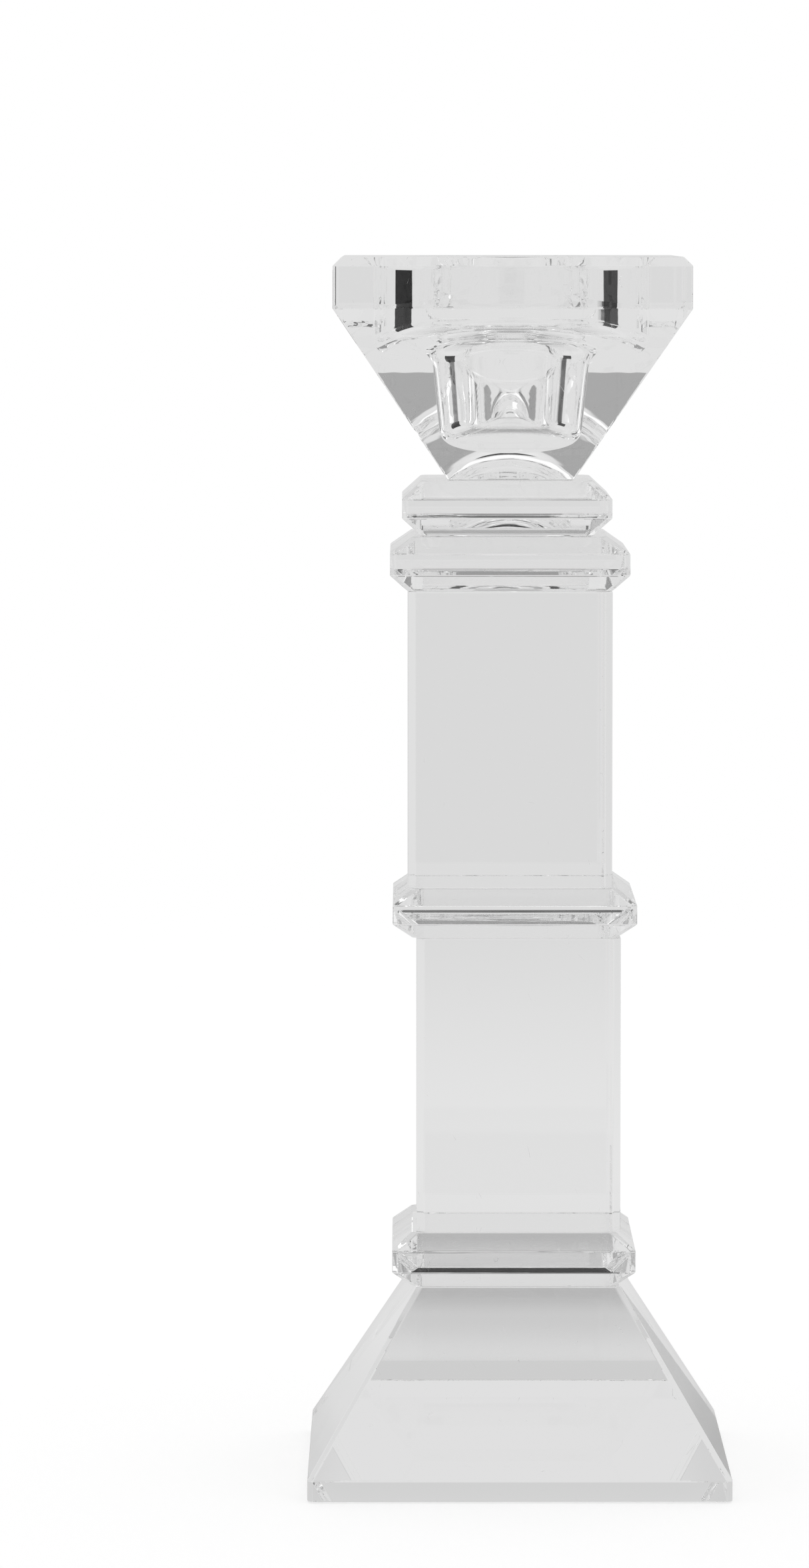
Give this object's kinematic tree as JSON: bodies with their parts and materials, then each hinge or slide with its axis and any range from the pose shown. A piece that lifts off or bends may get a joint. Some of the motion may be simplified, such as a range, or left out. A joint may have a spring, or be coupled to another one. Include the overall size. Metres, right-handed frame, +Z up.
{
  "type": "candlestick",
  "caption": "Square clear crystal candlestick of stacked bevelled blocks, with a cup that takes a taper candle or a tealight.",
  "frame": {"origin": "centre of the underside of the base", "axes": "+Z up through the stack, +X and +Y square to the sides of the base"},
  "size_m": [0.0612, 0.0612, 0.1786],
  "materials": {
    "crystal": "clear polished optical crystal, ground flat faces",
    "adhesive": "clear cured adhesive film"
  },
  "bodies": {
    "root": {"base_block": "crystal", "base_bond": "adhesive", "lower_collar": "crystal", "lower_column_foot_bond": "adhesive", "lower_column": "crystal", "lower_column_head_bond": "adhesive", "middle_collar": "crystal", "upper_column_foot_bond": "adhesive", "upper_column": "crystal", "upper_column_head_bond": "adhesive", "capital": "crystal", "neck_bond": "adhesive", "neck_plate": "crystal", "cup_bond": "adhesive", "candle_cup": "crystal"}
  },
  "joints": []
}
